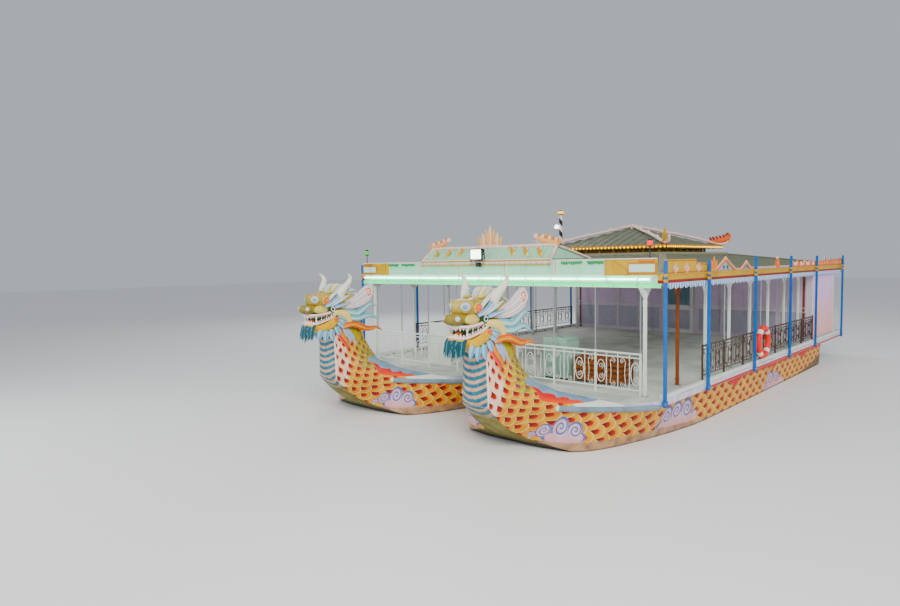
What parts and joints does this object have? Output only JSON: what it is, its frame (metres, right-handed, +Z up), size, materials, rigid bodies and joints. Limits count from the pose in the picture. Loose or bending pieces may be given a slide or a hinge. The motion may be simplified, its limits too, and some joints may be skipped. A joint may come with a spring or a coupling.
{
  "type": "twin dragon boat",
  "caption": "River tour boat on two hulls with dragon bows, an open cabin under a low roof with a small pyramid roof.",
  "frame": {"origin": "under the middle of the boat's box, on the plane of the two flat bottoms", "axes": "+X to port, +Y aft, +Z up; the waterline is at Z 0.42 m"},
  "size_m": [7.5866, 15.14, 4.48],
  "materials": {
    "scales": "painted scales, satin",
    "dragon_gold": "painted, satin",
    "dragon_jaw": "painted, satin",
    "bronze": "cast, worn",
    "boot_paint": "matt, weathered",
    "deck_paint": "matt deck paint",
    "post_blue": "gloss paint",
    "eave_orange": "satin paint",
    "white_paint": "gloss paint",
    "roof_sheet": "corrugated sheet, weathered",
    "lantern_yellow": "satin paint",
    "ridge_paint": "satin paint",
    "lamp_white": "lit diffuser",
    "band_green": "translucent strip",
    "valance_blue": "blue and white paint",
    "iron": "dark paint",
    "wood": "varnished",
    "locker_green": "ribbed, satin paint",
    "cabin_panel": "bare panel",
    "ring_orange": "life ring cover",
    "lamp_red": "lit lens",
    "lamp_green": "lens"
  },
  "bodies": {
    "boat": {"hull_port": "scales", "hull_starboard": "scales", "dragon_head_port": "dragon_gold", "dragon_head_starboard": "dragon_gold", "dragon_jaw_port": "dragon_jaw", "dragon_jaw_starboard": "dragon_jaw", "main_deck": "deck_paint", "post_port_1": "post_blue", "post_port_2": "post_blue", "post_port_3": "post_blue", "post_port_4": "post_blue", "post_port_5": "post_blue", "post_port_6": "post_blue", "post_starboard_1": "post_blue", "post_starboard_2": "post_blue", "post_starboard_3": "post_blue", "post_starboard_4": "post_blue", "post_starboard_5": "post_blue", "post_starboard_6": "post_blue", "eave_beam_front": "eave_orange", "eave_beam_rear": "eave_orange", "eave_beam_port": "eave_orange", "eave_beam_starboard": "eave_orange", "parapet_port": "eave_orange", "parapet_starboard": "eave_orange", "ceiling": "white_paint", "columns_port": "white_paint", "columns_starboard": "white_paint", "rail_front_port": "white_paint", "rail_front_starboard": "white_paint", "rail_rear": "white_paint", "helm_console": "white_paint", "mast": "white_paint", "main_roof": "roof_sheet", "pyramid_roof": "roof_sheet", "porch_roof": "roof_sheet", "lantern": "lantern_yellow", "front_board": "lantern_yellow", "pyramid_ridges": "ridge_paint", "lamp_tube": "lamp_white", "floodlight": "lamp_white", "front_band": "band_green", "valance_port": "valance_blue", "valance_starboard": "valance_blue", "rail_side_port": "iron", "rail_side_starboard": "iron", "front_bench": "wood", "locker": "locker_green", "aft_cabin": "cabin_panel", "life_ring_port": "ring_orange", "life_ring_starboard": "ring_orange", "side_lamp_port": "lamp_red", "side_lamp_starboard": "lamp_green"},
    "propeller_port": {"propeller_port": "bronze"},
    "propeller_starboard": {"propeller_starboard": "bronze"},
    "rudder_port": {"rudder_port": "boot_paint"},
    "rudder_starboard": {"rudder_starboard": "boot_paint"},
    "helm": {"helm_wheel": "wood"},
    "aft_door": {"aft_door": "white_paint"}
  },
  "joints": [
    {"name": "propeller_port_spin", "type": "hinge", "parent": "boat", "child": "propeller_port", "pos_m": [1.848, 3.947, 0.23], "axis": [0, 1, 0], "continuous": true},
    {"name": "propeller_starboard_spin", "type": "hinge", "parent": "boat", "child": "propeller_starboard", "pos_m": [-1.848, 3.947, 0.23], "axis": [0, 1, 0], "continuous": true},
    {"name": "helm_turn", "type": "hinge", "parent": "boat", "child": "helm", "pos_m": [-1.75, -3.65, 1.78], "axis": [0, -1, 0], "range_deg": [-525, 525]},
    {"name": "rudder_port_turn", "type": "hinge", "parent": "boat", "child": "rudder_port", "pos_m": [1.848, 4.37, 0.5], "axis": [0, 0, 1], "range_deg": [-35, 35]},
    {"name": "rudder_starboard_turn", "type": "hinge", "parent": "boat", "child": "rudder_starboard", "pos_m": [-1.848, 4.37, 0.5], "axis": [0, 0, 1], "range_deg": [-35, 35]},
    {"name": "aft_door_swing", "type": "hinge", "parent": "boat", "child": "aft_door", "pos_m": [-0.46, 4.564, 1.95], "axis": [0, 0, -1], "range_deg": [0, 100]}
  ],
  "couplings": [
    {"joint": "rudder_port_turn", "follows": "helm_turn", "ratio": 0.0666},
    {"joint": "rudder_starboard_turn", "follows": "helm_turn", "ratio": 0.0666}
  ]
}
